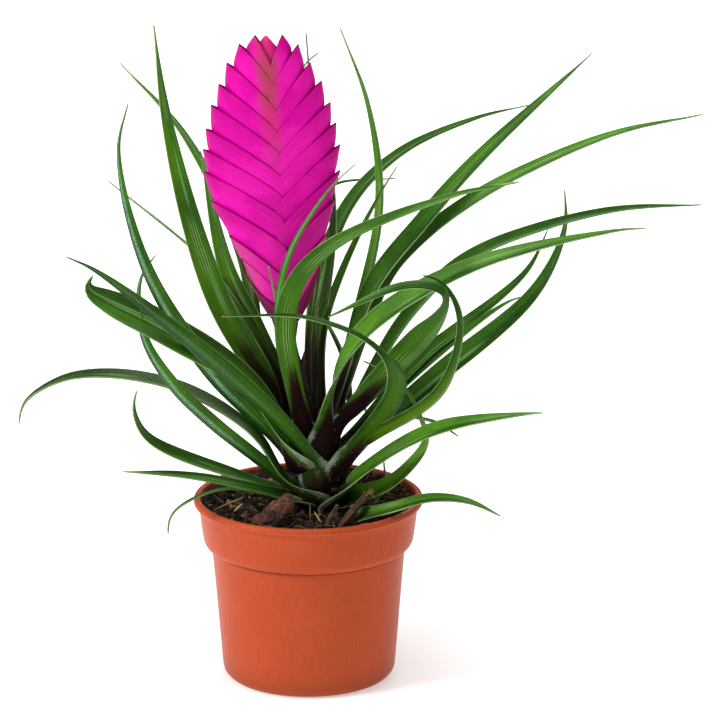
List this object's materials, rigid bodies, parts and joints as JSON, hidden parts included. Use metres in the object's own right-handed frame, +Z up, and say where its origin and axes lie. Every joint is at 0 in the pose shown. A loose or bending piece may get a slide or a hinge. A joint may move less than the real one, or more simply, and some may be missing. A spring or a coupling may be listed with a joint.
{
  "type": "potted pink quill plant",
  "caption": "Pink quill air plant with a flat feather-shaped flower head over arching strap leaves, in a round plastic nursery pot.",
  "frame": {"origin": "middle of the pot's flat base, on the surface it stands on", "axes": "+Z up along the pot's axis; -Y towards the front of the plant, which shows the flat side of the flower head; +X to the right seen from the front"},
  "size_m": [0.2695, 0.1739, 0.2549],
  "materials": {
    "terracotta_plastic": "satin",
    "peat_soil": "rough, damp",
    "leaf_green": "satin, waxy",
    "stalk_maroon": "satin",
    "bract_pink": "satin",
    "bark_brown": "rough"
  },
  "bodies": {
    "root": {"pot": "terracotta_plastic", "soil": "peat_soil", "rosette": "leaf_green", "flower_stalk": "stalk_maroon", "flower_quill": "bract_pink", "bark_chip": "bark_brown", "bark_stick_large": "bark_brown", "bark_stick_small": "bark_brown"}
  },
  "joints": []
}
